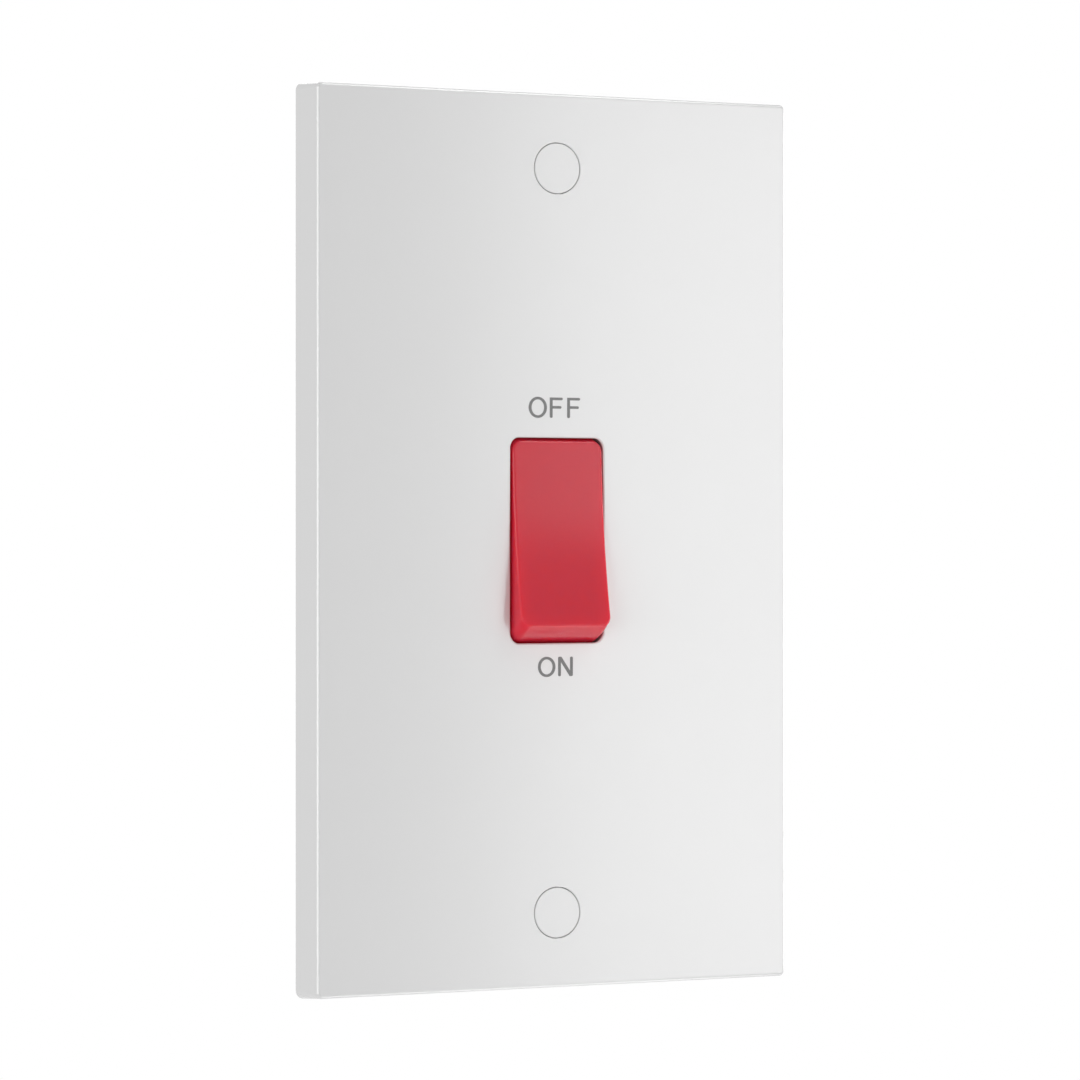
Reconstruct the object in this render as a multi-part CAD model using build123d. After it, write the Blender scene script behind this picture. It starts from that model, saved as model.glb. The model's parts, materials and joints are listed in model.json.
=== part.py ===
from build123d import *
from math import cos, hypot, radians, sin, sqrt, tan
import os

# A double pole wall switch: a two gang faceplate with one rocker, and the switch base behind it.
# Frame in millimetres: X to the right as the plate is seen, Y into the wall, Z up.
# The origin is the middle of the wall plane, on which the rim of the faceplate lies.
# The rocker and the blades are drawn level, then turned to where they stand when the switch is OFF.

# Faceplate, a moulding that is hollow behind
plate_width = 86.0
plate_height = 146.0
plate_thickness = 7.2
plate_draft = 5.0  # degrees by which the sides lean in towards the front
plate_corner = 1.4
plate_edge = 0.55
skin = 2.8
rim = 2.4
rib = 1.4
rib_depth = 3.0
rib_offset = 5.0  # from the base to the ribs round it

# Fixing holes and the caps that cover them
fixing_spacing = 120.6
fixing_hole = 4.2
fixing_boss = 12.0
head_recess = 7.4
head_recess_depth = 4.4
cap_diameter = 8.15
cap_thickness = 1.4
cap_edge = 0.15
cap_gap = 0.1
cap_hole_edge = 0.15
cap_skirt_wall = 1.0
cap_skirt_depth = 1.6
cap_skirt_gap = 0.05
cap_split = 1.2

# Opening for the rocker, and its bearings
aperture_width = 16.8
aperture_height = 32.9
aperture_corner = 1.6
aperture_edge = 0.3
collar_wall = 1.6
collar_depth = 4.0
pivot_depth = 7.4  # from the front of the plate to the rocker's axis
pin_diameter = 3.0
pin_clearance = 0.06
ear_reach = 2.5  # from the rocker's axis to the open ends of the bearing ears
ear_half_height = 5.0

# Rocker
rocker_rise = 2.0  # of the two front edges above the plate, with the rocker level
rocker_hollow = 156.0  # radius of the hollow front
rocker_swing = 6.7  # degrees each way from level
rocker_side_gap = 0.3
rocker_end_gap = 0.35
rocker_draft = 1.0
rocker_corner = 1.65
rocker_edge = 0.42
rocker_wall = 1.8
rocker_skirt = 1.5  # from the axis to the rocker's open back
lug_radius = 2.4

# Plungers in the rocker's tubes, and their springs
plunger_diameter = 4.2
plunger_clearance = 0.1
plunger_reach = 9.5  # from the rocker's axis to the tip
plunger_length = 10.0
plunger_nose = 1.3
plunger_nose_length = 2.2
plunger_solid = 4.0
plunger_bore = 3.0
tube_wall = 0.9
tube_reach = 4.5
tube_floor = 2.4
spring_wire = 0.5
spring_clearance = 0.15
spring_seat_gap = 0.05
spring_turns = 6

# Rocking blades and their contact buttons
blade_thickness = 1.8
blade_seat = 2.2  # from the fulcrum's axis to the front of the blade at its fold
blade_ratio = 1.4  # degrees that the blade turns for each degree of the rocker
blade_side_gap = 0.6
blade_end = 2.7  # from the contact's middle to the end of the blade
heel_reach = 8.0
heel_width = 1.8
fulcrum_clearance = 0.06
plunger_gap = 0.2
contact_reach = 10.6
contact_diameter = 4.6
contact_thickness = 1.2
contact_edge = 0.4
contact_gap = 0.1
rivet_diameter = 2.0
rivet_clearance = 0.05

# Strips and terminals
strip_thickness = 1.6
strip_width = 6.0
strip_corner = 1.0
block_width = 10.0
block_length = 11.0
block_depth = 11.0
block_edge = 0.5
block_clearance = 0.2
tunnel_diameter = 6.4
tunnel_wall = 1.4
thread_diameter = 5.0
thread_clearance = 0.05
screw_hole_gap = 0.25
screw_head = 8.4
screw_head_height = 3.0
screw_head_inset = 0.3
screw_edge = 0.5
slot_width = 1.3
slot_depth = 1.5
keeper_gap = 0.2
keeper_width = 7.0

# Switch base
base_wall = 1.8
base_floor = 2.2
base_corner = 2.5
base_edge = 0.8
base_front_gap = 0.1
barrier = 1.6
saddle_wall = 1.8
saddle_gap = 0.3
bay_half_height = 12.2
stop_gap = 0.25
tower_height = 3.6
tower_wall = 1.7
access_gap = 0.3
entry_gap = 0.5
entry_flare = 0.7
entry_flare_depth = 0.9

# Screws that hold the base to the faceplate
post_diameter = 6.4
post_reach = 1.0  # past the wall plane
base_screw = 3.0
base_screw_grip = 13.5
base_screw_hole_gap = 0.1
base_screw_bite = 0.6  # past the foot of the post, into the skin
base_screw_head = 5.6
base_screw_head_height = 2.0
base_screw_slot = 0.65
base_screw_slot_depth = 1.0
base_screw_cross = 2.8  # length of the short slot across the long one
column_diameter = 9.6
counterbore_gap = 0.3

# Planes and places that follow from these
front_y = -plate_thickness
skin_back = front_y + skin
cap_seat = front_y + cap_thickness
recess_floor = front_y + head_recess_depth
pivot_y = front_y + pivot_depth
fixing_places = [Pos(0, 0, fixing_spacing / 2), Pos(0, 0, -fixing_spacing / 2)]

# The ends of the opening and of the rocker are arcs round the rocker's axis
well_radius = hypot(aperture_height / 2, pivot_depth)
well_half_width = aperture_width / 2
rocker_radius = well_radius - rocker_end_gap
rocker_chord = pivot_depth + rocker_rise
rocker_half_length = sqrt(rocker_radius**2 - rocker_chord**2)
rocker_sag = rocker_hollow - sqrt(rocker_hollow**2 - rocker_half_length**2)
rocker_front = rocker_chord - rocker_sag
rocker_half_width = well_half_width - rocker_side_gap
rocker_slope = tan(radians(rocker_draft))
rocker_skirt_half_width = rocker_half_width + (rocker_chord - rocker_skirt) * rocker_slope
pin_reach = well_half_width + collar_wall - rocker_side_gap / 2

# One pole lies each side of the barrier, in the width of the opening
pole_x = (barrier / 2 + well_half_width) / 2
blade_width = well_half_width - barrier / 2 - 2 * blade_side_gap
tube_bore = plunger_diameter + 2 * plunger_clearance
tube_diameter = tube_bore + 2 * tube_wall
tube_bottom = -rocker_front + tube_floor

# With its contact closed, the blade's upper arm lies flat, square to the closed plunger
blade_swing = blade_ratio * rocker_swing
blade_sin = sin(radians(blade_swing))
blade_cos = cos(radians(blade_swing))
blade_front = pivot_y + plunger_reach * cos(radians(rocker_swing)) + plunger_gap
fulcrum_y = blade_front + blade_seat * blade_cos
contact_z = blade_seat * blade_sin + contact_reach
fixed_face = blade_front + blade_thickness + contact_thickness + contact_gap
strip_front = fixed_face + contact_thickness
floor_y = strip_front + strip_thickness
fulcrum_radius = strip_thickness / 2

# Base walls, from the middle outwards
base_front = skin_back + base_front_gap
base_back = floor_y + base_floor
tower_back = base_back + tower_height
bay_x = well_half_width + saddle_wall
terminal_x = bay_x + block_clearance + block_width / 2
base_inner_x = bay_x + block_width + 2 * block_clearance
base_half_width = base_inner_x + base_wall
pocket_z = bay_half_height + base_wall
terminal_z = pocket_z + block_clearance + block_length / 2
base_inner_z = pocket_z + block_length + 2 * block_clearance
base_half_height = base_inner_z + base_wall
ear_end = pivot_y + ear_reach
saddle_front = ear_end + saddle_gap
rocker_dip = (rocker_radius * sin(radians(rocker_swing))) - rocker_skirt * cos(radians(rocker_swing))
barrier_front = pivot_y + rocker_dip + stop_gap
block_front = strip_front - block_depth
tunnel_y = block_front + tunnel_wall + tunnel_diameter / 2
screw_hole = thread_diameter + 2 * screw_hole_gap
head_back = tower_back - screw_head_inset
head_seat = post_reach + base_screw_grip
terminal_spots = [(sx * terminal_x, sz * terminal_z) for sz in (1, -1) for sx in (-1, 1)]
post_spots = [(-terminal_x, 0), (terminal_x, 0)]


def slab(x0, x1, y0, y1, z0, z1):
    # A block between two opposite corners
    return Pos((x0 + x1) / 2, (y0 + y1) / 2, (z0 + z1) / 2) * Box(x1 - x0, y1 - y0, z1 - z0)


def rod(diameter, y0, y1, x=0, z=0):
    # A round bar along Y
    return Pos(x, (y0 + y1) / 2, z) * Rot(X=90) * Cylinder(diameter / 2, y1 - y0)


def cross_rod(diameter, x0, x1, y):
    # A round bar along X
    return Pos((x0 + x1) / 2, y, 0) * Rot(Y=90) * Cylinder(diameter / 2, x1 - x0)


def plate_face(width, height, corner, y):
    # A rounded rectangle that faces the front, at the depth y
    return Plane.XZ.offset(-y) * RectangleRounded(width, height, corner)


def side_face(lines):
    # A face in the YZ plane, from its edges in order
    return Plane.YZ * make_face(lines)


def pair(shape):
    # The same shape on the left and on the right
    return mirror(shape, about=Plane.YZ) + shape


def left(shape):
    # A piece of the right pole, made for the left one
    return mirror(shape, about=Plane.YZ)


# The faceplate is a tapered tray with bosses, bearings and ribs on the back of its skin
def make_faceplate():
    tray = extrude(plate_face(plate_width, plate_height, plate_corner, 0), plate_thickness, taper=plate_draft)
    front = tray.faces().sort_by(Axis.Y)[0]
    tray = fillet(front.edges(), plate_edge)
    inner_width = plate_width - 2 * rim
    inner_height = plate_height - 2 * rim
    hollow = extrude(plate_face(inner_width, inner_height, plate_corner, 0), -skin_back, taper=plate_draft)
    tray -= hollow

    root = skin_back - skin / 2
    inside = slab(-inner_width / 2, inner_width / 2, front_y, 0, -inner_height / 2, inner_height / 2)
    tray += make_ribs(root) & inside
    for place in fixing_places:
        tray += place * rod(fixing_boss, root, 0)
    tray += make_collar(root)
    for x, z in post_spots:
        tray += rod(post_diameter, root, post_reach, x, z)
    for x, z in terminal_spots:
        half = keeper_width / 2
        tray += slab(x - half, x + half, root, block_front - keeper_gap, z - rib / 2, z + rib / 2)

    cap_hole = make_cap_hole()
    for place in fixing_places:
        tray -= place * cap_hole
        tray -= place * rod(head_recess, front_y, recess_floor)
        tray -= place * rod(fixing_hole, front_y, 0)
    for x, z in post_spots:
        tray -= rod(base_screw, skin_back - base_screw_bite, post_reach, x, z)
    tray -= make_well()
    tray -= make_pin_slots()
    front = tray.faces().sort_by(Axis.Y)[0]
    opening = front.inner_wires().sort_by_distance((0, front_y, 0))[0]
    return fillet(opening.edges(), aperture_edge)


def make_cap_hole():
    # The space for a cap's disc: round, with a mouth that rolls over onto the front of the plate
    radius = cap_diameter / 2 + cap_gap
    mouth = radius + cap_hole_edge
    roll_end = front_y + cap_hole_edge
    slant = cap_hole_edge * sin(radians(45))
    outline = Polyline([(radius, roll_end), (radius, cap_seat), (0, cap_seat), (0, front_y), (mouth, front_y)])
    roll = ThreePointArc((mouth, front_y), (mouth - slant, roll_end - slant), (radius, roll_end))
    return revolve(make_face([outline, roll]), Axis.Y)


def make_ribs(root):
    # Two long ribs beside the base, cross ribs above and below it, and ribs that tie in the bosses
    rib_back = skin_back + rib_depth
    side = base_half_width + rib_offset
    end = base_half_height + rib_offset
    half = rib / 2
    tall = plate_height / 2
    wide = plate_width / 2
    ribs = pair(slab(side - half, side + half, root, rib_back, -tall, tall))
    for sign in (1, -1):
        ribs += Pos(0, 0, sign * end) * slab(-wide, wide, root, rib_back, -half, half)
        boss = sign * fixing_spacing / 2
        ribs += Pos(0, 0, boss) * slab(-side, side, root, rib_back, -half, half)
        ribs += slab(-half, half, root, rib_back, min(boss, sign * tall), max(boss, sign * tall))
    return ribs


def make_collar(root):
    # A wall round the opening, with an ear on each side for the rocker's pins
    half_width = well_half_width + collar_wall
    half_height = well_radius + collar_wall
    collar = slab(-half_width, half_width, root, skin_back + collar_depth, -half_height, half_height)
    ears = slab(well_half_width, half_width, root, ear_end, -ear_half_height, ear_half_height)
    return collar + pair(ears)


def make_well():
    # The swept space of the rocker: a drum on its axis, with rounded rims
    drum = Pos(0, pivot_y, 0) * Rot(Y=90) * Cylinder(well_radius, aperture_width)
    return fillet(drum.edges().filter_by(GeomType.CIRCLE), aperture_corner)


def make_pin_slots():
    # Round seats on the rocker's axis, open towards the back
    bore = pin_diameter + 2 * pin_clearance
    reach = well_half_width + collar_wall + rib
    seat = cross_rod(bore, -reach, reach, pivot_y)
    return seat + slab(-reach, reach, pivot_y, ear_end + rib, -bore / 2, bore / 2)


# A cap is a disc that lies flush in the fixing hole, with a split skirt that grips the hole
def make_cap():
    disc = rod(cap_diameter, front_y, cap_seat)
    disc = fillet(disc.edges().sort_by(Axis.Y)[0], cap_edge)
    skirt_diameter = head_recess - 2 * cap_skirt_gap
    skirt_end = cap_seat + cap_skirt_depth
    skirt = rod(skirt_diameter, cap_seat, skirt_end)
    skirt -= rod(skirt_diameter - 2 * cap_skirt_wall, cap_seat, skirt_end)
    half = skirt_diameter / 2
    skirt -= slab(-half, half, cap_seat, skirt_end, -cap_split / 2, cap_split / 2)
    skirt -= slab(-cap_split / 2, cap_split / 2, cap_seat, skirt_end, -half, half)
    return disc + skirt


# The rocker's side view: a hollow front between two ends that are arcs round its axis
def rocker_profile(chord, radius, back):
    half = sqrt(radius**2 - chord**2)
    back_half = sqrt(radius**2 - back**2)
    middle = (chord + back) / 2
    middle_half = sqrt(radius**2 - middle**2)
    lower = (-chord, -half)
    upper = (-chord, half)
    front = ThreePointArc(lower, (-chord + rocker_sag, 0), upper)
    upper_end = ThreePointArc(upper, (-middle, middle_half), (-back, back_half))
    open_back = Line((-back, back_half), (-back, -back_half))
    lower_end = ThreePointArc((-back, -back_half), (-middle, -middle_half), lower)
    return side_face([front, upper_end, open_back, lower_end])


def rocker_wedge(half_width):
    # The rocker's plan, wider towards the back
    spread = half_width + 2 * rocker_chord * rocker_slope
    points = [(-half_width, -rocker_chord), (half_width, -rocker_chord), (spread, rocker_chord),
              (-spread, rocker_chord)]
    return extrude(make_face(Polyline(points, close=True)), rocker_radius, both=True)


def make_rocker_level():
    body = extrude(rocker_profile(rocker_chord, rocker_radius, rocker_skirt), aperture_width, both=True)
    body &= rocker_wedge(rocker_half_width)
    ends = body.faces().sort_by(Axis.Z)
    end_edges = ends[0].edges() + ends[-1].edges()
    body = fillet(end_edges.filter_by(Axis.X, reverse=True), rocker_corner)
    front = body.faces().sort_by(Axis.Y)[0]
    body = fillet(front.edges(), rocker_edge)

    inner_radius = rocker_radius - rocker_wall
    inner = extrude(rocker_profile(rocker_chord - rocker_wall, inner_radius, 0), well_half_width, both=True)
    inner &= rocker_wedge(rocker_half_width - rocker_wall)
    body -= inner

    rib_front = -rocker_front + rocker_wall / 2
    tube = rod(tube_diameter, rib_front, tube_reach, pole_x)
    lug_side = rocker_skirt_half_width - rocker_wall
    lug = cross_rod(2 * lug_radius, lug_side, rocker_skirt_half_width, 0)
    lug += slab(lug_side, rocker_skirt_half_width, -rocker_skirt - rocker_wall, 0, -lug_radius, lug_radius)
    pin = cross_rod(pin_diameter, lug_side, pin_reach, 0)
    body += pair(tube + lug + pin)
    body += slab(-pole_x, pole_x, rib_front, -rocker_skirt, -rib / 2, rib / 2)
    return body - pair(rod(tube_bore, tube_bottom, tube_reach, pole_x))


def turn_off(shape):
    # From level on the rocker's axis to the OFF position
    return Pos(0, pivot_y, 0) * Rot(X=-rocker_swing) * shape


# A plunger is a turned pin with a round nose, bored out for its spring
def make_plunger_level():
    radius = plunger_diameter / 2
    bore = plunger_bore / 2
    head = plunger_reach - plunger_length
    bottom = plunger_reach - plunger_solid
    shoulder = plunger_reach - plunger_nose_length
    dome = plunger_reach - plunger_nose
    outline = Polyline([(0, plunger_reach), (0, bottom), (bore, bottom), (bore, head), (radius, head),
                        (radius, shoulder), (plunger_nose, dome)])
    slant = plunger_nose * sin(radians(45))
    nose = ThreePointArc((plunger_nose, dome), (slant, dome + slant), (0, plunger_reach))
    return Pos(pole_x, 0, 0) * revolve(make_face([outline, nose]), Axis.Y)


def make_spring_level():
    coil_radius = (plunger_bore - spring_wire) / 2 - spring_clearance
    start = tube_bottom + spring_wire / 2 + spring_seat_gap
    end = plunger_reach - plunger_solid - spring_wire / 2 - spring_seat_gap
    height = end - start
    path = Helix(height / spring_turns, height, coil_radius, center=(pole_x, start, 0), direction=(0, 1, 0))
    wire = Plane(origin=path @ 0, z_dir=path % 0) * Circle(spring_wire / 2)
    return sweep(wire, path, is_frenet=True)


# A blade is a strip folded to a shallow V, with a groove that rides on the fulcrum and a heel
def blade_point(along, across):
    # A place on the upper arm, along it from the fold and across it from its front
    y = -blade_seat - along * blade_sin + across * blade_cos
    z = along * blade_cos + across * blade_sin
    return (y, z)


def lower_point(along, across):
    y, z = blade_point(along, across)
    return (y, -z)


def make_blade_level():
    tip = contact_reach + blade_end
    heel_back = strip_front - blade_front - contact_gap
    back_fold = -blade_seat + blade_thickness / blade_cos
    points = [
        (-blade_seat, 0),
        blade_point(tip, 0),
        blade_point(tip, blade_thickness),
        (back_fold, 0),
        lower_point(heel_reach - heel_width, blade_thickness),
        lower_point(heel_reach - heel_width, heel_back),
        lower_point(heel_reach, heel_back),
        lower_point(heel_reach, 0),
    ]
    outline = side_face([Polyline(points, close=True)])
    blade = Pos(pole_x, 0, 0) * extrude(outline, blade_width / 2, both=True)
    groove = strip_thickness + 2 * fulcrum_clearance
    blade -= cross_rod(groove, 0, well_half_width, 0)
    hole = rivet_diameter + 2 * rivet_clearance
    depth = 2 * blade_thickness
    return blade - contact_axis() * Pos(0, 0, -blade_thickness / 2) * Cylinder(hole / 2, depth)


def contact_axis():
    # The middle of the contact on the back of the upper arm, looking back along its axis
    y, z = blade_point(contact_reach, blade_thickness)
    return Plane(origin=(pole_x, y, z), x_dir=(1, 0, 0), z_dir=(0, blade_cos, blade_sin))


def make_button(grip):
    # A contact rivet: its head on the positive side of the plane, its shank through the grip
    head = Pos(0, 0, contact_thickness / 2) * Cylinder(contact_diameter / 2, contact_thickness)
    head = fillet(head.edges().sort_by(Axis.Z)[-1], contact_edge)
    return head + Pos(0, 0, -grip / 2) * Cylinder(rivet_diameter / 2, grip)


def rock_open(shape):
    # From level on the fulcrum to where the blade stands with the rocker OFF
    return Pos(0, fulcrum_y, 0) * Rot(X=blade_swing) * shape


def make_fixed_contact():
    seat = Plane(origin=(pole_x, strip_front, contact_z), x_dir=(1, 0, 0), z_dir=(0, -1, 0))
    return seat * make_button(strip_thickness)


# Each strip lies on the floor of the base and runs out under its terminal block
def make_tail(sign):
    x0 = pole_x - strip_width / 2
    x1 = terminal_x + block_width / 2
    near = terminal_z - block_length / 2
    far = terminal_z + block_length / 2
    tail = slab(x0, x1, strip_front, floor_y, near, far)
    tail = fillet(tail.edges().filter_by(Axis.Y), strip_corner)
    tail -= rod(screw_hole, strip_front, floor_y, terminal_x, terminal_z)
    return tail if sign > 0 else mirror(tail, about=Plane.XY)


def make_contact_strip():
    x0 = pole_x - strip_width / 2
    x1 = pole_x + strip_width / 2
    leg = slab(x0, x1, strip_front, floor_y, contact_z - strip_width / 2, terminal_z)
    lower = leg.edges().filter_by(Axis.Y).group_by(Axis.Z)[0]
    leg = fillet(lower, strip_corner)
    strip = leg + make_tail(1)
    return strip - rod(rivet_diameter + 2 * rivet_clearance, strip_front, floor_y, pole_x, contact_z)


def make_fulcrum_strip():
    # The end of this strip is folded up, and its rounded edge is the fulcrum
    fold = strip_thickness / 2
    end = -terminal_z
    corner = FilletPolyline((floor_y, end), (floor_y, fold), (fulcrum_y, fold), radius=strip_thickness)
    top = ThreePointArc((fulcrum_y, fold), (fulcrum_y - fulcrum_radius, 0), (fulcrum_y, -fold))
    inner = Polyline([(fulcrum_y, -fold), (strip_front, -fold), (strip_front, end), (floor_y, end)])
    section = side_face([corner, top, inner])
    leg = Pos(pole_x, 0, 0) * extrude(section, strip_width / 2, both=True)
    return leg + make_tail(-1)


# A terminal block: a wire tunnel from its outer end, and a threaded hole from the back
def make_terminal(x, z):
    half_width = block_width / 2
    half_length = block_length / 2
    block = slab(x - half_width, x + half_width, block_front, strip_front, z - half_length, z + half_length)
    block = chamfer(block.edges().filter_by(Axis.Y), block_edge)
    block -= Pos(x, tunnel_y, z) * Cylinder(tunnel_diameter / 2, block_length)
    return block - rod(thread_diameter, tunnel_y, strip_front, x, z)


def make_terminal_screw(x, z):
    # Backed right out, so that its end is clear of the wire tunnel
    seat = head_back - screw_head_height
    head = rod(screw_head, seat, head_back, x, z)
    head = fillet(head.edges().sort_by(Axis.Y)[-1], screw_edge)
    half = screw_head / 2
    slot_floor = head_back - slot_depth
    head -= slab(x - half, x + half, slot_floor, head_back, z - slot_width / 2, z + slot_width / 2)
    shank_diameter = thread_diameter - 2 * thread_clearance
    return head + rod(shank_diameter, tunnel_y + tunnel_diameter / 2 + thread_clearance, seat, x, z)


# The base is a box open to the front, divided by the barrier and by walls round two side bays
def make_base():
    base = extrude(plate_face(2 * base_half_width, 2 * base_half_height, base_corner, base_back),
                   base_back - base_front)
    base = fillet(base.faces().sort_by(Axis.Y)[-1].edges(), base_edge)
    for x, z in terminal_spots:
        base += rod(screw_head + 2 * access_gap + 2 * tower_wall, floor_y, tower_back, x, z)
    base -= slab(-base_inner_x, base_inner_x, base_front, floor_y, -base_inner_z, base_inner_z)

    half = barrier / 2
    inner = base_inner_z + base_wall / 2
    base += slab(-half, half, barrier_front, floor_y + base_floor / 2, -inner, inner)
    base += pair(make_bay())
    for x, z in terminal_spots:
        base -= rod(screw_head + 2 * access_gap, floor_y, tower_back, x, z)
        base -= make_entry(x, z)
    for x, z in post_spots:
        base -= rod(base_screw + 2 * base_screw_hole_gap, post_reach, base_back, x, z)
        base -= rod(base_screw_head + 2 * counterbore_gap, head_seat, base_back, x, z)
    return base


def make_bay():
    # Walls of the right hand bay, the column for its screw, and a tongue that keeps the rocker's pin in
    deep = floor_y + base_floor / 2
    wall = slab(well_half_width, bay_x, saddle_front, deep, -pocket_z, pocket_z)
    outer = base_inner_x + base_wall / 2
    upper = slab(well_half_width, outer, saddle_front, deep, bay_half_height, pocket_z)
    lower = mirror(upper, about=Plane.XY)
    tongue_half = pin_diameter / 2
    tongue_front = pivot_y + pin_diameter / 2 + pin_clearance
    tongue_side = well_half_width + collar_wall
    tongue = slab(well_half_width, tongue_side, tongue_front, deep, -tongue_half, tongue_half)
    column = rod(column_diameter, post_reach, deep, terminal_x, 0)
    return wall + upper + lower + tongue + column


def make_entry(x, z):
    # A wire entry through the end wall, in line with the terminal's tunnel and flared outwards
    sign = 1 if z > 0 else -1
    radius = tunnel_diameter / 2 + entry_gap
    middle = sign * (base_inner_z + base_wall / 2)
    hole = Pos(x, tunnel_y, middle) * Cylinder(radius, base_wall)
    flare = Cone(radius, radius + entry_flare, entry_flare_depth)
    turn = Rot(X=0 if sign > 0 else 180)
    return hole + Pos(x, tunnel_y, sign * (base_half_height - entry_flare_depth / 2)) * turn * flare


def make_base_screw(x, z):
    head = rod(base_screw_head, head_seat, head_seat + base_screw_head_height, x, z)
    head = fillet(head.edges().sort_by(Axis.Y)[-1], screw_edge)
    top = head_seat + base_screw_head_height
    floor = top - base_screw_slot_depth
    long_half = base_screw_head / 2
    short_half = base_screw_cross / 2
    half = base_screw_slot / 2
    head -= slab(x - long_half, x + long_half, floor, top, z - half, z + half)
    head -= slab(x - half, x + half, floor, top, z - short_half, z + short_half)
    shank = base_screw - 2 * thread_clearance
    return head + rod(shank, skin_back - base_screw_bite + thread_clearance, head_seat, x, z)


cap = make_cap()
rocker = turn_off(make_rocker_level())
plunger = turn_off(make_plunger_level())
spring = turn_off(make_spring_level())
blade = rock_open(make_blade_level())
moving_contact = rock_open(contact_axis() * make_button(blade_thickness))
fixed_contact = make_fixed_contact()
contact_strip = make_contact_strip()
fulcrum_strip = make_fulcrum_strip()

nodes = {
    "faceplate": make_faceplate(),
    "screw_cap_top": fixing_places[0] * cap,
    "screw_cap_bottom": fixing_places[1] * cap,
    "rocker": rocker,
    "plunger_left": left(plunger),
    "plunger_right": plunger,
    "plunger_spring_left": left(spring),
    "plunger_spring_right": spring,
    "blade_left": left(blade),
    "blade_right": blade,
    "moving_contact_left": left(moving_contact),
    "moving_contact_right": moving_contact,
    "fixed_contact_left": left(fixed_contact),
    "fixed_contact_right": fixed_contact,
    "contact_strip_left": left(contact_strip),
    "contact_strip_right": contact_strip,
    "fulcrum_strip_left": left(fulcrum_strip),
    "fulcrum_strip_right": fulcrum_strip,
    "terminal_screws": Compound([make_terminal_screw(x, z) for x, z in terminal_spots]),
    "switch_base": make_base(),
    "base_screws": Compound([make_base_screw(x, z) for x, z in post_spots]),
}
spot_names = ["top_left", "top_right", "bottom_left", "bottom_right"]
for spot_name, (spot_x, spot_z) in zip(spot_names, terminal_spots):
    nodes[f"terminal_{spot_name}"] = make_terminal(spot_x, spot_z)

os.makedirs("parts", exist_ok=True)
for name, shape in nodes.items():
    export_step(shape, f"parts/{name}.step")
    print(name, len(shape.solids()), "solid", round(shape.volume, 1), "mm3")
print("rocker axis at y", round(pivot_y, 4), "and fulcrum axis at y", round(fulcrum_y, 4))
print("poles at x", round(pole_x, 4), "and terminals at x", round(terminal_x, 4), "z", round(terminal_z, 4))
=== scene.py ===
# %% [markdown]
# # A double pole wall switch
# The real thing is a white two gang wall plate with one red rocker, of the kind that cuts off a cooker or a
# shower. Its solid pieces come packed from the CAD model, at their true size and in their true places. They
# could be built again here, but two copies of a shape soon disagree, so this lesson only dresses them:
# finishes, printed words, coil springs, a studio and a camera.

# %% Load the imported pieces
import json
from math import cos, pi, radians, sin

import bmesh
import bpy
from mathutils import Matrix, Vector


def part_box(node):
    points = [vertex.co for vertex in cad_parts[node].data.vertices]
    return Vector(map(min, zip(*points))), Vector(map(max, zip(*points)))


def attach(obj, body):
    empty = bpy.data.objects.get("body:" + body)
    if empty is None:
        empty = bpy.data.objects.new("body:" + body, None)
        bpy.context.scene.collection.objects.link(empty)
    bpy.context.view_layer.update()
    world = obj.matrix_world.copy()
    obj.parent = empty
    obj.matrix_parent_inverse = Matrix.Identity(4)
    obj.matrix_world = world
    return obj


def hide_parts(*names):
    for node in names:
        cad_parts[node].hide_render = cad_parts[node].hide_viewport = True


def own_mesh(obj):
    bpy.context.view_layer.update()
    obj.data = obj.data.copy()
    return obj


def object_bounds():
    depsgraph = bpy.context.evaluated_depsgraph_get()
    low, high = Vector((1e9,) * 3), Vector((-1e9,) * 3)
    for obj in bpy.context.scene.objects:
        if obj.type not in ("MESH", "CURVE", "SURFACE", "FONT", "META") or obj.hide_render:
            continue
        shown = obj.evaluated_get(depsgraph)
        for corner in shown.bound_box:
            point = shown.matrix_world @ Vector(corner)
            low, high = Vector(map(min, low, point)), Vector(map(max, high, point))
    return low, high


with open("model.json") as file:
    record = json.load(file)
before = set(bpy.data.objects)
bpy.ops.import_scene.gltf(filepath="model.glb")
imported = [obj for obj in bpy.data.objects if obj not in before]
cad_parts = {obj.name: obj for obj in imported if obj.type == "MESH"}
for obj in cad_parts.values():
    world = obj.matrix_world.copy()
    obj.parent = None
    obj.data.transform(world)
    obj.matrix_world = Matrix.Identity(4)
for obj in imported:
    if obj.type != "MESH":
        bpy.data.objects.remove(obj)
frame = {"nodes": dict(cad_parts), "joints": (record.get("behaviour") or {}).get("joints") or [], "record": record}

cad_low, cad_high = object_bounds()
solids = frame["nodes"]
mm = 0.001
print("box in mm:", [round(side / mm, 2) for side in cad_high - cad_low])

# %% [markdown]
# ## Where the surfaces are
# Anything printed or moulded on the switch has to sit on a surface that is already there. The places could be
# typed in, but they would be wrong as soon as the model changes. A box or a ray that is cast at a solid reads
# them off it.

# %% Read places off the solids
plate_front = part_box("faceplate")[0].y
run_up = 10 * mm


def back_surface(solid, x, z):
    # The depth at which a line from behind, at this place, meets the solid
    start = Vector((x, cad_high.y + run_up, z))
    _, place, _, _ = solids[solid].ray_cast(start, Vector((0, -1, 0)))
    return place.y


print("front of the plate at y =", round(plate_front / mm, 2), "mm")

# %% [markdown]
# ## Helpers for finishes
# A finish in Blender is a small graph of nodes. Each one below starts with the piece's own Object
# coordinates, so that a grain stays where it is when the switch is turned or its rocker moves. The first
# helper adds one node, sets the sockets that are given a number or a colour, and joins the sockets that are
# given another node's output. Few values of a noise lie near 0 or 1, so the grains are used over their middle
# range only.

# %% Node helpers
grain_low, grain_high = 0.3, 0.7


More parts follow.
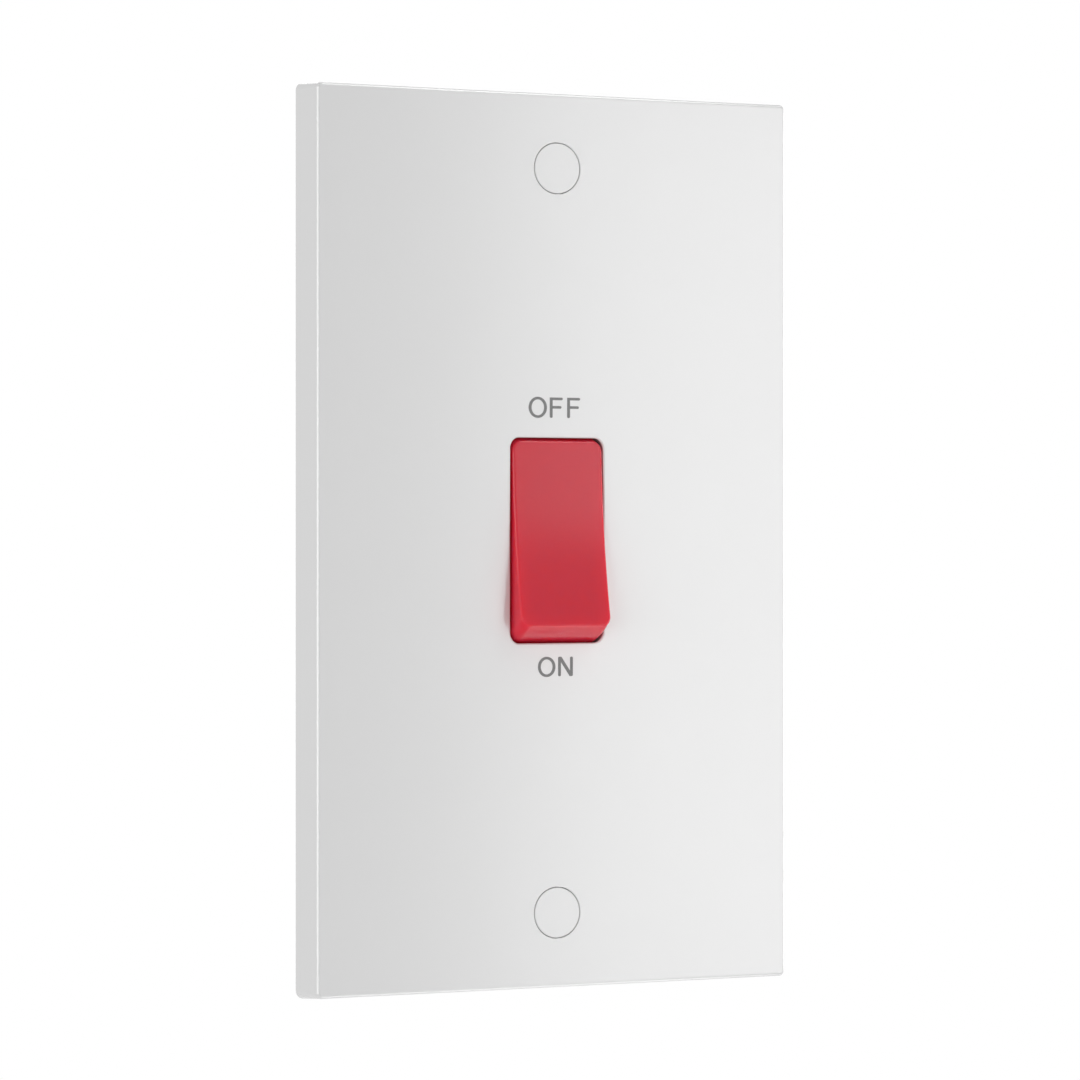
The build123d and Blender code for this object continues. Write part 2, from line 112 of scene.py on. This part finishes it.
def add_node(tree, kind, inputs):
    made = tree.nodes.new(kind)
    for name, value in inputs.items():
        if isinstance(value, bpy.types.NodeSocket):
            tree.links.new(value, made.inputs[name])
        else:
            made.inputs[name].default_value = value
    return made


def start_finish(name):
    # A material with an empty surface, and the Object coordinates of its piece
    finish = bpy.data.materials.new(name)
    finish.use_nodes = True
    tree = finish.node_tree
    tree.nodes.clear()
    coordinates = tree.nodes.new("ShaderNodeTexCoord")
    return finish, tree, coordinates.outputs["Object"]


def end_finish(tree, surface):
    output = tree.nodes.new("ShaderNodeOutputMaterial")
    tree.links.new(surface.outputs["BSDF"], output.inputs["Surface"])


def grain(tree, place, per_metre, detail):
    # A cloud of noise, from 0 to 1, with this many cells to a metre
    cloud = add_node(tree, "ShaderNodeTexNoise", {"Vector": place, "Scale": per_metre, "Detail": detail})
    return cloud.outputs["Fac"]


def stretched(tree, place, share):
    # Coordinates that draw a grain out along one axis, as tools and rollers do
    return add_node(tree, "ShaderNodeMapping", {"Vector": place, "Scale": share}).outputs["Vector"]


def between(tree, value, low, high):
    # A value's middle range, spread from low to high, and held at these beyond it
    limits = {"Value": value, "From Min": grain_low, "From Max": grain_high, "To Min": low, "To Max": high}
    return add_node(tree, "ShaderNodeMapRange", limits).outputs["Result"]


def two_colours(tree, value, deep, pale):
    ramp = add_node(tree, "ShaderNodeValToRGB", {"Fac": value})
    first, last = ramp.color_ramp.elements
    first.position, last.position = grain_low, grain_high
    first.color, last.color = (*deep, 1), (*pale, 1)
    return ramp.outputs["Color"]


def bumps(tree, height, depth):
    # Shades the surface as if the grain were this deep
    return add_node(tree, "ShaderNodeBump", {"Height": height, "Distance": depth}).outputs["Normal"]


print("finishes are made from Object coordinates")

# %% [markdown]
# ## Moulded plastics
# The plate and the rocker are moulded in polished tools, the base in a spark-eroded one, and the plungers are
# nylon. Moulded plastic is never one flat colour: the melt leaves faint clouds as it flows, and the tool
# leaves a fine skin that breaks up reflections. One function makes all four, because they differ only in
# colour, gloss and grain. The red pigment dulls the rocker's skin, so it mirrors less of the room than the
# plate does. Red light also goes a few millimetres into it before it comes out again, and that makes its
# edges glow.

# %% Plastic finishes
plastic_ior = 1.55
red_reach = (1.0, 0.1, 0.1)     # how far red, green and blue light go in, as shares of the glow's depth


def moulded_plastic(name, colours, gloss, shine, skin_depth, glow_depth=0.0):
    # Colours are the deepest and the palest, and gloss is the lowest and the highest roughness
    finish, tree, place = start_finish(name)
    clouds = grain(tree, place, per_metre=60, detail=3)
    smears = grain(tree, place, per_metre=350, detail=4)
    skin = grain(tree, place, per_metre=2400, detail=2)
    surface = add_node(tree, "ShaderNodeBsdfPrincipled", {
        "Base Color": two_colours(tree, clouds, *colours),
        "Roughness": between(tree, smears, *gloss),
        "Normal": bumps(tree, skin, skin_depth),
        "IOR": plastic_ior,
        "Specular IOR Level": shine,
        "Subsurface Weight": 1.0 if glow_depth else 0.0,
        "Subsurface Radius": red_reach,
        "Subsurface Scale": glow_depth,
    })
    end_finish(tree, surface)
    return finish


whites = (0.797, 0.797, 0.797), (0.803, 0.803, 0.803)
reds = (0.740, 0.020, 0.051), (0.750, 0.022, 0.053)
darks = (0.030, 0.030, 0.032), (0.042, 0.042, 0.045)
creams = (0.74, 0.71, 0.62), (0.80, 0.77, 0.69)
polished = (0.155, 0.175)
spark_eroded = (0.45, 0.6)
waxy = (0.35, 0.45)
white_plastic = moulded_plastic("white plate plastic", whites, polished, shine=0.9, skin_depth=0.0002 * mm)
red_plastic = moulded_plastic("red rocker plastic", reds, polished, shine=0.26, skin_depth=0.0002 * mm,
                              glow_depth=3.5 * mm)
dark_plastic = moulded_plastic("dark base plastic", darks, spark_eroded, shine=0.5, skin_depth=0.02 * mm)
nylon = moulded_plastic("plunger nylon", creams, waxy, shine=0.5, skin_depth=0.005 * mm)
print("made", white_plastic.name, red_plastic.name, dark_plastic.name, nylon.name, sep=", ")

# %% [markdown]
# ## Metals
# The terminals and their screws are cut from drawn brass bar, the strips and blades are rolled copper, the
# contacts are silver buttons, the springs are steel wire, and the two screws that hold the base are zinc
# plated. All are bare metal, so their colour is in the reflection: Metallic is 1, and what tells them apart
# is the tint and the direction of the fine lines that drawing, rolling or plating leave.

# %% Metal finishes
def worked_metal(name, colours, gloss, line_stretch, line_depth):
    finish, tree, place = start_finish(name)
    lines = grain(tree, stretched(tree, place, line_stretch), per_metre=9000, detail=2)
    stains = grain(tree, place, per_metre=220, detail=5)
    surface = add_node(tree, "ShaderNodeBsdfPrincipled", {
        "Base Color": two_colours(tree, stains, *colours),
        "Metallic": 1.0,
        "Roughness": between(tree, lines, *gloss),
        "Normal": bumps(tree, lines, line_depth),
    })
    end_finish(tree, surface)
    return finish


along_z = (1.0, 1.0, 0.05)
all_ways = (1.0, 1.0, 1.0)
yellows = (0.66, 0.46, 0.19), (0.80, 0.60, 0.28)
pinks = (0.66, 0.30, 0.17), (0.82, 0.44, 0.28)
warm_greys = (0.72, 0.71, 0.67), (0.88, 0.87, 0.84)
dull_greys = (0.36, 0.36, 0.37), (0.52, 0.52, 0.53)
cold_greys = (0.52, 0.54, 0.57), (0.70, 0.71, 0.72)
brass = worked_metal("drawn brass", yellows, (0.24, 0.42), along_z, line_depth=0.004 * mm)
copper = worked_metal("rolled copper", pinks, (0.22, 0.38), along_z, line_depth=0.003 * mm)
silver = worked_metal("silver contact", warm_greys, (0.25, 0.4), all_ways, line_depth=0.003 * mm)
spring_steel = worked_metal("spring steel", dull_greys, (0.2, 0.35), all_ways, line_depth=0.002 * mm)
zinc = worked_metal("zinc plated steel", cold_greys, (0.28, 0.45), all_ways, line_depth=0.004 * mm)
print("made", brass.name, copper.name, silver.name, spring_steel.name, zinc.name, sep=", ")

# %% [markdown]
# ## Dressing the solids
# Every solid already has a material slot, with a plain colour from the record. The record also says which
# slot a solid has, so one table from slot to finish dresses them all. Nothing is left in its plain colour.

# %% Put the finishes on the solids
finishes = {
    "white_moulding": white_plastic,
    "red_moulding": red_plastic,
    "dark_moulding": dark_plastic,
    "nylon": nylon,
    "spring_steel": spring_steel,
    "copper": copper,
    "silver": silver,
    "brass": brass,
    "zinc_steel": zinc,
}
for subpart in frame["record"]["subparts"]:
    for slot in solids[subpart["node"]].material_slots:
        slot.material = finishes[subpart["material_slot"]]

# %% [markdown]
# ## Making a piece from a bmesh
# The pieces below are new meshes. Each is drawn in the model's own frame, so its object stays at the origin.
# This helper merges doubled points, turns the faces outwards, and says what the new piece is carried by.

# %% Finish a piece
merge_distance = 0.001 * mm


def make_piece(name, shape, material, body):
    bmesh.ops.remove_doubles(shape, verts=shape.verts, dist=merge_distance)
    bmesh.ops.recalc_face_normals(shape, faces=shape.faces)
    mesh = bpy.data.meshes.new(name)
    shape.to_mesh(mesh)
    shape.free()
    mesh.materials.append(material)
    piece = bpy.data.objects.new(name, mesh)
    bpy.context.scene.collection.objects.link(piece)
    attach(piece, body)
    print(name, "has", len(mesh.polygons), "faces and rides on", body)
    return piece


print("points closer than", round(merge_distance / mm, 4), "mm are merged")

# %% [markdown]
# ## Drawing letters
# OFF and ON are printed on the plate in thin grey capitals with round stroke ends. A text object could write
# them, but its typeface has other proportions and square ends. So each letter is a flat outline with only the
# corners that its shape needs. A vertex bevel then rounds the stroke ends, and an extrusion gives the ink its
# thickness.

# %% Letter outlines
end_steps = 5
oval_steps = 64
end_round = 0.48     # the radius of a round stroke end, as a share of a bar's thickness


def letter_face(shape, corners, round_ends, radius):
    # A flat letter that stands in the XZ plane, with the corners at these places in the list rounded
    points = [shape.verts.new((x, 0, z)) for x, z in corners]
    shape.faces.new(points)
    ends = [points[place] for place in round_ends]
    bmesh.ops.bevel(shape, geom=ends, offset=radius, offset_type="OFFSET", segments=end_steps, profile=0.5,
                    affect="VERTICES", material=-1)


def letter_f(shape, width, height, stem, bar):
    middle = 0.52 * height
    short = 0.90 * width
    under = middle - bar / 2
    over = middle + bar / 2
    corners = [(0, 0), (stem, 0), (stem, under), (short, under), (short, over), (stem, over),
               (stem, height - bar), (width, height - bar), (width, height), (0, height)]
    letter_face(shape, corners, (0, 1, 3, 4, 7, 8), end_round * bar)


def letter_n(shape, width, height, stem, bar):
    shoulder = 1.15 * stem
    fork = 1.7 * stem
    corners = [(0, 0), (stem, 0), (stem, height - fork), (width - shoulder, 0), (width, 0), (width, height),
               (width - stem, height), (width - stem, fork), (shoulder, height), (0, height)]
    letter_face(shape, corners, (0, 1, 4, 5, 6, 9), end_round * bar)


def letter_o(shape, width, height, stem, bar):
    # Two ovals, bridged to a ring
    rings = []
    for inset_x, inset_z in ((0, 0), (stem, bar)):
        ring = bmesh.ops.create_circle(shape, segments=oval_steps, radius=1)["verts"]
        bmesh.ops.rotate(shape, verts=ring, cent=(0, 0, 0), matrix=Matrix.Rotation(pi / 2, 3, "X"))
        bmesh.ops.scale(shape, verts=ring, vec=(width / 2 - inset_x, 1, height / 2 - inset_z))
        bmesh.ops.translate(shape, verts=ring, vec=(width / 2, 0, height / 2))
        rings += {edge for vert in ring for edge in vert.link_edges}
    bmesh.ops.bridge_loops(shape, edges=rings)


def thicken(shape, thickness):
    # Pulls the flat letter back along Y to a slab
    pulled = bmesh.ops.extrude_face_region(shape, geom=shape.faces[:])["geom"]
    points = [part for part in pulled if isinstance(part, bmesh.types.BMVert)]
    bmesh.ops.translate(shape, verts=points, vec=(0, thickness, 0))


print("outlines for F, N and O, with", end_steps, "steps to a rounded corner and", oval_steps, "to an oval")

# %% [markdown]
# ## The printed words
# The words lie on the front of the plate, above and below the rocker. The ink is a real film, though a thin
# one, so the letters stand proud of the plate by its thickness and catch the light as print does. The O is a
# little taller than its neighbours, because a round letter of the same height looks too small.

# %% Print OFF and ON
ink_film = 0.03 * mm
print_stem = 0.52 * mm
print_bar = 0.43 * mm
print_greys = (0.210, 0.210, 0.210), (0.245, 0.245, 0.245)
print_gloss = (0.42, 0.55)


def grey_ink():
    finish, tree, place = start_finish("grey print")
    patches = grain(tree, place, per_metre=1800, detail=4)
    surface = add_node(tree, "ShaderNodeBsdfPrincipled", {
        "Base Color": two_colours(tree, patches, *print_greys),
        "Roughness": between(tree, patches, *print_gloss),
    })
    end_finish(tree, surface)
    return finish


def print_word(name, letters, ink):
    word = bmesh.new()
    for draw, left, foot, width, height in letters:
        letter = bmesh.new()
        draw(letter, width * mm, height * mm, print_stem, print_bar)
        thicken(letter, ink_film)
        bmesh.ops.translate(letter, verts=letter.verts, vec=(left * mm, plate_front - ink_film, foot * mm))
        scratch = bpy.data.meshes.new("letter")
        letter.to_mesh(scratch)
        letter.free()
        word.from_mesh(scratch)
        bpy.data.meshes.remove(scratch)
    return make_piece(name, word, ink, "housing")


# Each letter has its drawing function, then its left side, foot, width and height in millimetres
off_letters = [
    (letter_o, -5.19, 19.82, 3.31, 3.43),
    (letter_f, -1.37, 19.86, 2.36, 3.30),
    (letter_f, 1.79, 19.86, 2.36, 3.30),
]
on_letters = [
    (letter_o, -3.52, -22.10, 3.17, 3.28),
    (letter_n, 0.14, -22.00, 2.69, 3.16),
]
print_ink = grey_ink()
print_word("off_print", off_letters, print_ink)
print_word("on_print", on_letters, print_ink)

# %% [markdown]
# ## Plunger springs
# Behind each plunger is a small coil spring with closed ends. The CAD model has it as a plain helix that
# can't give. A curve with a round bevel would show the same wire, but a spin with a step along its axis makes
# the mesh directly: one closed turn, the open turns, and one closed turn.

# %% Wind the springs
slides = {joint["child"]: joint for joint in frame["joints"] if joint["type"] == "slide"}
wire = 0.5 * mm
wire_sides = 10
open_turns = 4
turn_steps = 28


def reach_along(solid, direction):
    places = [direction.dot(vertex.co) for vertex in solids[solid].data.vertices]
    return min(places), max(places)


def wind_spring(side):
    solid = f"plunger_spring_{side}"
    slide = slides[f"plunger_{side}"]
    axis = Vector(slide["axis"]).normalized()
    across = Vector((1, 0, 0))
    upright = axis.cross(across)
    start, end = reach_along(solid, axis)
    near, far = reach_along(solid, across)
    under, over = reach_along(solid, upright)
    middle = across * (near + far) / 2 + upright * (under + over) / 2
    coil_radius = (far - near - wire) / 2
    # The closed turns rise by one wire each, and half a wire stands out at each end
    open_length = end - start - 3 * wire

    spring = bmesh.new()
    section = bmesh.ops.create_circle(spring, segments=wire_sides, radius=wire / 2)["verts"]
    turn = Matrix((across, axis, upright)).transposed()
    bmesh.ops.rotate(spring, verts=section, cent=(0, 0, 0), matrix=turn)
    foot = middle + axis * (start + wire / 2)
    bmesh.ops.translate(spring, verts=section, vec=foot + across * coil_radius)
    last = section + list({edge for vert in section for edge in vert.link_edges})
    for turns, rise in ((1, wire), (open_turns, open_length), (1, wire)):
        steps = turns * turn_steps
        spun = bmesh.ops.spin(spring, geom=last, cent=foot, axis=axis, dvec=axis * rise / steps,
                              angle=2 * pi * turns, steps=steps, use_merge=False, use_duplicate=False)
        last = spun["geom_last"]
    bmesh.ops.holes_fill(spring, edges=[edge for edge in spring.edges if edge.is_boundary])
    piece = make_piece(f"coil_spring_{side}", spring, spring_steel, "rocker")
    for face in piece.data.polygons:
        face.use_smooth = True
    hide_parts(solid)
    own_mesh(piece)


for side in ("left", "right"):
    wind_spring(side)

# %% [markdown]
# ## Terminal letters
# On the back of the base, an L or an N is moulded beside each terminal, so that the two poles aren't mixed
# up. They are read from behind, so they are drawn as usual and then turned round to face the back. Their
# depth comes from a ray that is cast at the base.

# %% Mould the terminal letters
mark_height = 4.2 * mm
mark_width = 3.0 * mm
mark_stroke = 0.7 * mm
mark_round = 0.3     # the radius of an L's corners, as a share of the stroke
mark_relief = 0.25 * mm
mark_from_middle = 5.5 * mm
mark_height_share = 0.36
base_low, base_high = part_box("switch_base")


def letter_l(shape, width, height, stem, bar):
    corners = [(0, 0), (width, 0), (width, bar), (stem, bar), (stem, height), (0, height)]
    letter_face(shape, corners, (1, 2, 4, 5), mark_round * bar)


def mould_mark(name, draw, x, z):
    mark = bmesh.new()
    draw(mark, mark_width, mark_height, mark_stroke, mark_stroke)
    thicken(mark, mark_relief)
    bmesh.ops.translate(mark, verts=mark.verts, vec=(-mark_width / 2, 0, -mark_height / 2))
    bmesh.ops.rotate(mark, verts=mark.verts, cent=(0, 0, 0), matrix=Matrix.Rotation(pi, 3, "Z"))
    bmesh.ops.translate(mark, verts=mark.verts, vec=(x, back_surface("switch_base", x, z) + mark_relief, z))
    make_piece(name, mark, dark_plastic, "housing")


for end, height_share in (("top", mark_height_share), ("bottom", -mark_height_share)):
    mark_z = height_share * (base_high.z - base_low.z)
    mould_mark(f"live_mark_{end}", letter_l, mark_from_middle, mark_z)
    mould_mark(f"neutral_mark_{end}", letter_n, -mark_from_middle, mark_z)

# %% [markdown]
# ## The floor
# The switch is shown clear of the ground, as a wall plate is, over a plain pale floor. A floor that is lit to
# pure white would need strong lamps, and they would burn out the plate. So the paint glows, but only for rays
# from the camera and from mirrors, by just what the lamps leave short of white. Its own shadow still shows in
# the rest. The disc melts into the white round it, so that no horizon cuts across the picture from any side.

# %% Lay the floor
floor_drop = 0.6
floor_radius = 1.4
floor_steps = 96
floor_melt = 0.6     # the share of the radius, from the rim inwards, over which the floor melts away
floor_glow = 0.5
floor_greys = (0.87, 0.87, 0.87), (0.89, 0.89, 0.89)
pure_white = (1, 1, 1, 1)


def seen_directly(tree):
    # One for rays from the camera, from mirrors and through glass, and nothing for the light on things
    path = tree.nodes.new("ShaderNodeLightPath")
    seen = path.outputs["Is Camera Ray"]
    for kind in ("Is Glossy Ray", "Is Transmission Ray"):
        larger = add_node(tree, "ShaderNodeMath", {0: seen, 1: path.outputs[kind]})
        larger.operation = "MAXIMUM"
        seen = larger.outputs["Value"]
    return seen


def floor_finish():
    finish, tree, place = start_finish("studio floor")
    shrunk = stretched(tree, place, (1 / floor_radius, 1 / floor_radius, 0))
    ball = add_node(tree, "ShaderNodeTexGradient", {"Vector": shrunk})
    ball.gradient_type = "SPHERICAL"
    clouds = grain(tree, place, per_metre=30, detail=2)
    pale = add_node(tree, "ShaderNodeBsdfPrincipled", {
        "Base Color": two_colours(tree, clouds, *floor_greys),
        "Roughness": 0.9,
        "Emission Color": pure_white,
        "Emission Strength": between(tree, seen_directly(tree), 0, floor_glow),
    })
    clear = tree.nodes.new("ShaderNodeBsdfTransparent")
    melt = add_node(tree, "ShaderNodeMapRange", {"Value": ball.outputs["Fac"], "From Max": floor_melt})
    mix = add_node(tree, "ShaderNodeMixShader", {"Fac": melt.outputs["Result"]})
    tree.links.new(clear.outputs["BSDF"], mix.inputs[1])
    tree.links.new(pale.outputs["BSDF"], mix.inputs[2])
    output = tree.nodes.new("ShaderNodeOutputMaterial")
    tree.links.new(mix.outputs["Shader"], output.inputs["Surface"])
    return finish


disc = bmesh.new()
bmesh.ops.create_circle(disc, cap_ends=True, segments=floor_steps, radius=floor_radius)
bmesh.ops.translate(disc, verts=disc.verts, vec=(0, 0, -floor_drop))
floor_mesh = bpy.data.meshes.new("floor")
disc.to_mesh(floor_mesh)
disc.free()
floor_mesh.materials.append(floor_finish())
floor = bpy.data.objects.new("floor", floor_mesh)
bpy.context.scene.collection.objects.link(floor)
print("floor lies", floor_drop, "m below the middle of the plate")

# %% [markdown]
# ## The white world
# The background is pure white, but a white world would also flood the switch with light from every side. The
# Light Path node tells the two apart: the camera and mirror rays see white, and everything else gets a dim
# grey.

# %% Set up the world
room_light = 0.35
world = bpy.data.worlds.new("white room")
world.use_nodes = True
room = world.node_tree
room.nodes.clear()
dim = add_node(room, "ShaderNodeBackground", {"Color": pure_white, "Strength": room_light})
white = add_node(room, "ShaderNodeBackground", {"Color": pure_white, "Strength": 1.0})
either = add_node(room, "ShaderNodeMixShader", {"Fac": seen_directly(room)})
room.links.new(dim.outputs["Background"], either.inputs[1])
room.links.new(white.outputs["Background"], either.inputs[2])
world_output = room.nodes.new("ShaderNodeOutputWorld")
room.links.new(either.outputs["Shader"], world_output.inputs["Surface"])
bpy.context.scene.world = world
bpy.context.scene.view_settings.view_transform = "Standard"
print("the room gives", room_light, "of the white that the camera sees")

# %% [markdown]
# ## Soft boxes
# The plate brightens from left to right, because it mirrors the edge of a bright box at the right of the
# camera. Its rounded edges mirror narrow strips of the room, so long low boxes far out at both sides, and
# slim ones above and below, draw the thin bright lines there. Small bright boxes would draw them too, but
# they would burn out the plate's side when it is seen square on. The last box lights the back. A box is given
# as bright as it looks, where the white background is 1: its power is then pi times brightness times area.

# %% Hang the soft boxes
def soft_box(name, azimuth, elevation, distance, size, brightness):
    # Azimuth is round from the front of the plate towards its right, in degrees. The first side of a box runs
    # along the plate's width, as nearly as a box that faces the plate can.
    flat = cos(radians(elevation))
    towards = Vector((flat * sin(radians(azimuth)), -flat * cos(radians(azimuth)), sin(radians(elevation))))
    lamp = bpy.data.lights.new(name, "AREA")
    lamp.shape = "RECTANGLE"
    lamp.size, lamp.size_y = size
    lamp.energy = pi * brightness * lamp.size * lamp.size_y
    box = bpy.data.objects.new(name, lamp)
    bpy.context.scene.collection.objects.link(box)
    box.location = towards * distance
    across = (Vector((1, 0, 0)) - towards * towards.x).normalized()
    box.rotation_euler = Matrix((across, towards.cross(across), towards)).transposed().to_euler()
    box.visible_camera = False
    print(name, "of", round(lamp.energy, 2), "W at", [round(side, 3) for side in box.location])


soft_box("mirror box", azimuth=35.2, elevation=0, distance=1.2, size=(0.40, 0.51), brightness=2.65)
soft_box("left box", azimuth=-74, elevation=0, distance=3.0, size=(3.60, 1.08), brightness=3.4)
soft_box("right box", azimuth=92, elevation=0, distance=3.0, size=(3.46, 0.80), brightness=2.6)
soft_box("upper box", azimuth=46.0, elevation=55.5, distance=0.81, size=(0.15, 0.60), brightness=4.9)
soft_box("lower box", azimuth=47.0, elevation=-58.0, distance=0.484, size=(0.12, 0.34), brightness=3.3)
soft_box("rear box", azimuth=165, elevation=20, distance=1.0, size=(0.60, 0.50), brightness=1.2)

# %% [markdown]
# ## The camera
# The switch was seen from its left, level with its middle, with a long lens. The angle, distance and lens
# below make the plate's four corners land where they do in the picture. Aiming a little to the left of the
# middle of the front places the switch in the frame, so the lens needs no shift.

# %% Set the camera
view_angle = radians(26.6)
view_distance = 714.6 * mm
aim_left = 2.8 * mm
aim_up = 0.08 * mm
sensor = 36.0
lens = 147.0

looking = Vector((sin(view_angle), cos(view_angle), 0))
rightwards = Vector((cos(view_angle), -sin(view_angle), 0))
aim = Vector((0, plate_front, aim_up)) - rightwards * aim_left
camera_data = bpy.data.cameras.new("camera")
camera_data.sensor_width = sensor
camera_data.lens = lens
camera = bpy.data.objects.new("camera", camera_data)
camera.location = aim - looking * view_distance
camera.rotation_euler = (pi / 2, 0, -view_angle)
bpy.context.scene.collection.objects.link(camera)
bpy.context.scene.camera = camera
print("camera at", [round(side, 4) for side in camera.location])
